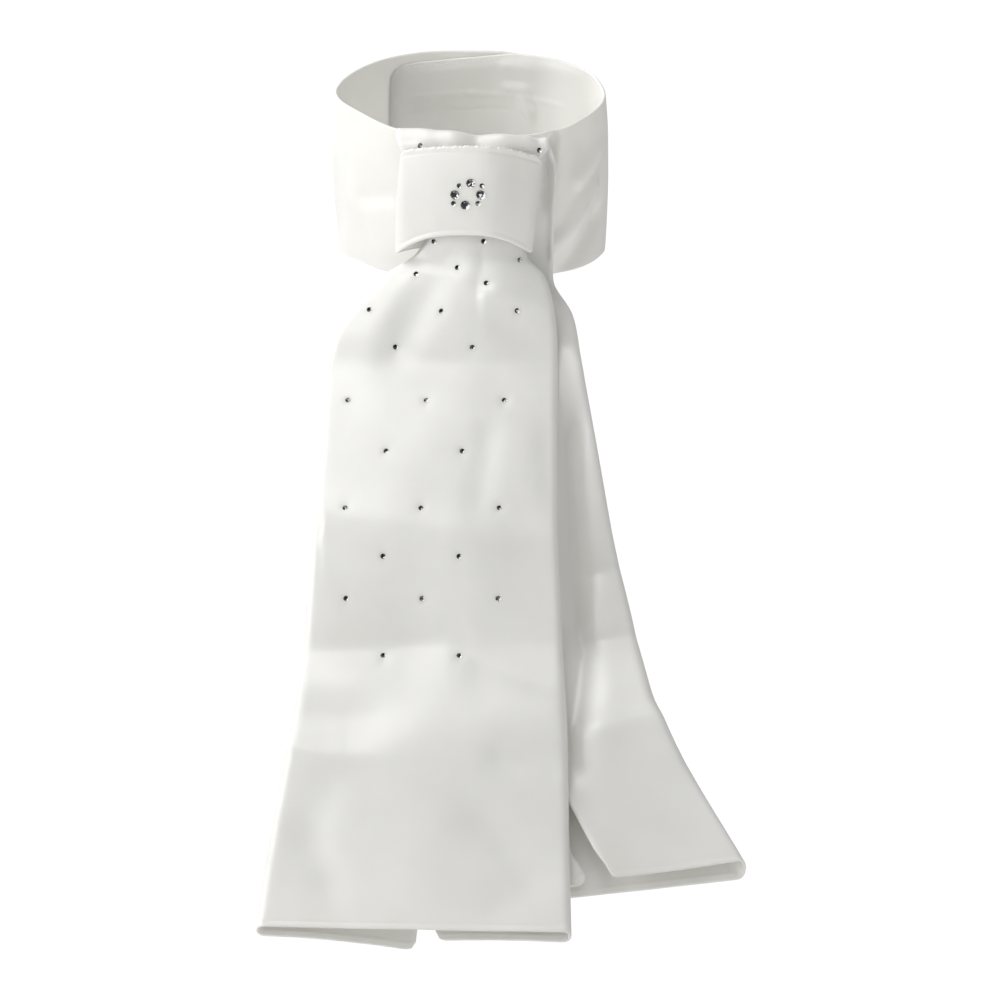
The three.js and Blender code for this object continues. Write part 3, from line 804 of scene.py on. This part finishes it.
# The short length of front tail that shows above the knot, and the back tail's sunken place beside the knot
# with the raised edge next to it
frontCollar = table("a0 b0 a1 b1 half h", [
    (-20, 14, -18, 4, 5.0, 1.0),
    (-8, 14, -6, 4, 4.0, 0.7),
    (4, 14, 3, 4, 5.0, -2.4),
    (16, 14, 17, 4, 4.0, 0.5),
    (30, 14, 33, 2, 3.0, -1.6),
])
backCollar = table("a0 b0 a1 b1 half h", [
    (34.8, 12, 32, -14, 2.4, -6.0),
    (40.5, 2, 39.5, -36, 3.2, 6.5),
])
# side is 1 where the flaps are folded back behind the face and -1 where they are folded to the front.
# hem is how far the lower edge lies under the frame's, in mm: the main face at its left and right fold, then
# each flap at its fold and free edge. Folds and waves begin below the first height of freeBelow and are full
# below the second; flapFolds is how much of them the flaps take. The same long waves move both tails, so that
# they keep their distance.
longWave = {"length": 90.0, "amount": 0.35, "seed": 7}
frontTail = {
    "columns": 176, "rows": 270, "thick": 1.35, "flat": (0.250, 0.355), "side": 1, "corner": 4.0,
    "vStops": [(0, 0), (0.87, 0.968), (1, 1)],
    "table": frontRows, "folds": frontFolds, "bends": frontBends, "collar": frontCollar, "flapFolds": 0.0,
    "hem": {"face": (0.0, 0.4), "left": (2.1, 2.9), "right": (2.8, 0.8)},
    "freeBelow": (-24, -44), "waves": [longWave, {"length": 26.0, "amount": 0.07, "seed": 11}],
}
backTail = {
    "columns": 160, "rows": 230, "thick": 1.35, "flat": (0.236, 0.325), "side": -1, "corner": 3.0,
    "vStops": [(0, 0), (0.87, 0.968), (1, 1)],
    "table": backRows, "folds": backFolds, "bends": backBends, "collar": backCollar, "flapFolds": 1.0,
    "hem": {"face": (0.5, 4.0), "left": (0.0, 0.0), "right": (-2.4, -0.6)},
    "freeBelow": (-50, -90), "waves": [longWave, {"length": 26.0, "amount": 0.07, "seed": 23}],
}
# Shares of a tail's width that each flap and each side fold takes, and at which the face's folds begin
flapShare = 0.2
foldShare = 0.06
flapFoldsFrom = 0.12
# A shallow stitch groove above the lower edge. The hem's drop and the flaps' round corners move the cloth up
# to these heights above it, in mm.
tailHem = table("at half h", [(2.4, 0.7, -0.18)])
hemReach = 60.0
cornerReach = 14.0
stoneDimple = {"deep": 0.40, "half": 2.3}

tailStones = [(x, z) for z, places in (
    (-31.5, (-14.6, 6.6)), (-40.5, (22,)), (-44.4, (-4.9,)), (-47.4, (-22.2,)), (-50.9, (7.7,)),
    (-62.5, (-42.6, -11.7, 21.1)), (-78, (-31.5, 1.7)), (-100.5, (-51.8, -18.0, 15.5)),
    (-121.8, (-35.1, -2.5)), (-145.5, (-52.4, -20.0, 13.4)), (-165.5, (-36.1, -3.7)),
    (-183.4, (-51.8, -19.4, 12.9)), (-207.4, (-35.9, -3.6))) for x in places]


def tailPoint(tail, z, lat, depth):
    rows = tail["table"]
    row = rowsAt(rows, "z", z)
    step = 1.0
    rise = rowsAt(rows, "z", z + step)["y"] - rowsAt(rows, "z", z - step)["y"]
    up = np.stack([np.zeros_like(z), rise, np.full_like(z, 2 * step)], -1)
    up /= np.linalg.norm(up, axis=1)[:, None]
    roll = np.radians(row["roll"])
    across = up * np.sin(roll)[:, None]
    across[:, 0] += np.cos(roll)
    out = -np.cross(up, across)
    out /= np.linalg.norm(out, axis=1)[:, None]
    point = np.stack([row["x"], row["y"], z], -1) + across * lat[:, None]
    point[:, 1] += row["sag"] * sagAt(point[:, 0]) + row["bow"] * (2 * lat / row["width"]) ** 2
    return point + out * (depth * tail["side"])[:, None], out, up


# Each glued stone pulls the satin in a little round itself

def stoneDimples(x, z):
    depth = np.zeros_like(x)
    for stoneX, stoneZ in tailStones:
        away = np.hypot(x - stoneX, z - stoneZ)
        depth -= stoneDimple["deep"] * np.exp(-(away / stoneDimple["half"]) ** 2)
    return depth


def tailSurface(tail):
    def surface(u, v):
        rows = tail["table"]
        z = rows[0]["z"] + (rows[-1]["z"] - rows[0]["z"]) * v
        row = rowsAt(rows, "z", z)
        straight = row["width"] / 2 - row["fold"]
        edge = flapShare + foldShare
        # across the section: flap, side fold, main face, side fold, flap
        lat, depth, drop = (np.zeros_like(u) for _ in range(3))
        onFace = (u >= edge) & (u <= 1 - edge)
        across = np.clip((u - edge) / (1 - 2 * edge), 0, 1)
        lat[onFace] = (-straight + 2 * straight * across)[onFace]
        faceDrop = tail["hem"]["face"][0] + (tail["hem"]["face"][1] - tail["hem"]["face"][0]) * across
        drop[onFace] = faceDrop[onFace]
        for sign, name, share in ((-1, "left", u), (1, "right", 1 - u)):
            atFold, atFree = tail["hem"][name]
            onFlap = share < flapShare
            t = 1 - share / flapShare
            lat[onFlap] = (sign * (straight - row[name] * t))[onFlap]
            depth[onFlap] = (-2 * row["fold"] - row[name + "Lift"] * t ** 2)[onFlap]
            drop[onFlap] = (atFold + (atFree - atFold) * t)[onFlap]
            onFold = (share >= flapShare) & (share < edge)
            angle = np.pi * (1 - (share - flapShare) / foldShare)
            lat[onFold] = (sign * (straight + row["fold"] * np.sin(angle)))[onFold]
            depth[onFold] = (row["fold"] * (np.cos(angle) - 1))[onFold]
            drop[onFold] = (faceDrop + (atFold - faceDrop) * (1 - np.cos(angle)) / 2)[onFold]
        flat = tailPoint(tail, z, lat, np.zeros_like(lat))[0]
        x = flat[:, 0]
        onTheFace = smoothStep(flapFoldsFrom, flapShare + 0.5 * foldShare, np.minimum(u, 1 - u))
        strength = onTheFace + (1 - onTheFace) * tail["flapFolds"]
        push = strength * (foldHeight(tail["folds"], x, z) + bendHeight(tail["bends"], x, z))
        if tail["side"] > 0:
            push = push + onTheFace * stoneDimples(x, z)
        push = smoothStep(*tail["freeBelow"], z) * (push + waveHeight(tail["waves"], flat))
        push = push + onTheFace * foldHeight(tail["collar"], x, z)
        # the stitch groove goes inward on the face and on the flaps; the face lies less deep than this
        faceDepth = 0.01
        fromHem = (1 - v) * tail["flat"][1] / mm
        push = push + tail["side"] * np.sign(depth + faceDepth) * hemHeight(tailHem, fromHem)
        point, out, up = tailPoint(tail, z, lat, depth)
        # the flaps' free corners are rounded
        fromFree = np.minimum(u, 1 - u) * tail["flat"][0] / mm
        short = tail["corner"] - np.minimum(fromFree, tail["corner"])
        lift = tail["corner"] - np.sqrt(np.maximum(0, tail["corner"] ** 2 - short ** 2))
        swing = drop * smoothStep(hemReach, 0, fromHem) - lift * smoothStep(cornerReach, 0, fromHem)
        return point + out * push[:, None] - up * swing[:, None]
    return surface


def makeTails():
    front = clothGrid("front_tail_satin", frontTail, tailSurface(frontTail))
    finishPiece(front, satin, "satin", "front_tail")
    back = clothGrid("back_tail_satin", backTail, tailSurface(backTail))
    finishPiece(back, satin, "satin", "back_tail")
    return front


# Stitches: each is a short rounded length of thread lying on the cloth

stitch = {"long": 1.7, "wide": 0.42, "high": 0.28, "every": 2.4, "seat": 0.05, "ahead": 0.4, "samples": 120}
# Two lines on the inner end of the band: along its top edge, as turns and mm in from that edge, and along the
# box that holds the closure patch, as mm round from the middle of the back and mm up from the lower rim
edgeStitches = {"turns": [-0.085, -0.04, 0.02, 0.06], "fromEdge": 2.0}
boxStitches = [(-30, 44.0), (17, 45.0), (24, 43.0), (27, 39.0)]


def addStitches(bm, line, outward):
    line, outward = np.asarray(line), np.asarray(outward)
    length = np.concatenate([[0], np.cumsum(np.linalg.norm(np.diff(line, axis=0), axis=1))])
    for at in np.arange(stitch["every"], length[-1] - stitch["every"], stitch["every"]):
        place = np.array([np.interp(at, length, line[:, k]) for k in range(3)])
        ahead = np.array([np.interp(at + stitch["ahead"], length, line[:, k]) for k in range(3)])
        up = Vector([np.interp(at, length, outward[:, k]) for k in range(3)]).normalized()
        run = Vector(ahead - place).normalized()
        side = up.cross(run).normalized()
        turn = Matrix((run, side, up)).transposed().to_4x4()
        size = Matrix.Diagonal((stitch["long"] / 2 * mm, stitch["wide"] / 2 * mm, stitch["high"] / 2 * mm, 1))
        seat = Matrix.Translation(Vector(place) * mm + up * stitch["seat"] * mm)
        bmesh.ops.create_uvsphere(bm, u_segments=8, v_segments=6, radius=1.0, matrix=seat @ turn @ size)


def alongStops(stops):
    return np.interp(np.linspace(0, 1, stitch["samples"]), np.linspace(0, 1, len(stops)), stops)


def makeStitching():
    bm = bmesh.new()
    edgeTurn = alongStops(edgeStitches["turns"])
    edgeDrop = np.interp(edgeTurn, *zip(*neckBand["innerDrop"]))
    boxRound, boxUp = (alongStops(stops) for stops in zip(*boxStitches))
    for turn, up in ((edgeTurn, neckBand["tall"] - edgeDrop - edgeStitches["fromEdge"]),
                     (boxRound / bandRound, boxUp)):
        point, outward = bandPlace(turn, up / neckBand["tall"])
        addStitches(bm, point - outward * neckBand["thick"] / 2, -outward)
    piece = meshObject("sewing_thread", bm)
    finishPiece(piece, thread, "satin")


# Stones: flat-backed brilliants, one for each solid of the frame, seated on the cloth

stoneCut = {"sides": 8, "big": 4.2, "small": 2.4, "bigFrom": 3.0, "sink": 0.12}
stoneRings = table("high wide shift", [(0.0, 0.93, 0), (0.10, 1.0, 0), (0.27, 0.80, 0.5), (0.40, 0.50, 0)])


def addCutStone(bm, place, outward, size):
    seat = Matrix.Translation(place) @ outward.to_track_quat("Z", "Y").to_matrix().to_4x4()
    made = []
    for ring in stoneRings:
        spin = Matrix.Rotation(ring["shift"] * 2 * math.pi / stoneCut["sides"], 4, "Z")
        circle = bmesh.ops.create_circle(bm, segments=stoneCut["sides"], radius=ring["wide"] * size / 2,
                                         matrix=seat @ Matrix.Translation((0, 0, ring["high"] * size)) @ spin)
        made += circle["verts"]
    loose = {edge for vert in made for edge in vert.link_edges}
    bmesh.ops.delete(bm, geom=list(loose), context="EDGES_FACES")
    bmesh.ops.convex_hull(bm, input=made)


# Painted facet light and shade, standing in for the way cut glass sends each facet's light another way:
# facets up and to the left are painted dark, those down right painted white and glowing

paintedFacetShading = {"middle": 0.35, "lean": 0.60, "right": 0.9, "down": 0.5, "uneven": 0.30, "seed": 41}


def paintFacetLightAndShade(piece):
    dice = np.random.default_rng(paintedFacetShading["seed"])
    paintedFacetLight = piece.data.attributes.new("paintedFacetLight", "FLOAT", "FACE")
    for face in piece.data.polygons:
        # painted light by facet direction, with a random share: the more a facet faces right and down, the
        # brighter it is painted
        lean = paintedFacetShading["right"] * face.normal.x - paintedFacetShading["down"] * face.normal.z
        chance = dice.uniform(-paintedFacetShading["uneven"], paintedFacetShading["uneven"])
        paintedFacetLight.data[face.index].value = paintedFacetShading["middle"] + paintedFacetShading["lean"] * lean + chance


def makeStones(cloths):
    bm = bmesh.new()
    clear = 30 * mm  # the search for the cloth starts this far in front of a stone
    nodes = sorted(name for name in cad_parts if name.startswith("stone_"))
    for name in nodes:
        low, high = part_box(name)
        middle = (low + high) / 2
        size = stoneCut["big" if high.x - low.x > stoneCut["bigFrom"] * mm else "small"] * mm
        best = None
        for cloth in cloths:
            start = Vector((middle.x, middle.y - clear, middle.z))
            hit, place, normal = cloth.ray_cast(start, Vector((0, 1, 0)))[:3]
            if hit and (best is None or place.y < best[0].y):
                best = (place, normal)
        place, normal = best
        addCutStone(bm, place - normal * stoneCut["sink"] * mm, normal, size)
    piece = meshObject("crystal_stones", bm, smooth=False)
    paintFacetLightAndShade(piece)
    finishPiece(piece, crystal, "crystal", *nodes)


addCamera()
addLights()
addStudio()
addFloor()
makeNeckBand()
makeClosurePatch()
knot = makeKnotBand()
print("band and knot made")
front = makeTails()
print("tails made")
makeStitching()
makeStones([knot, front])
print("stitches and stones made")
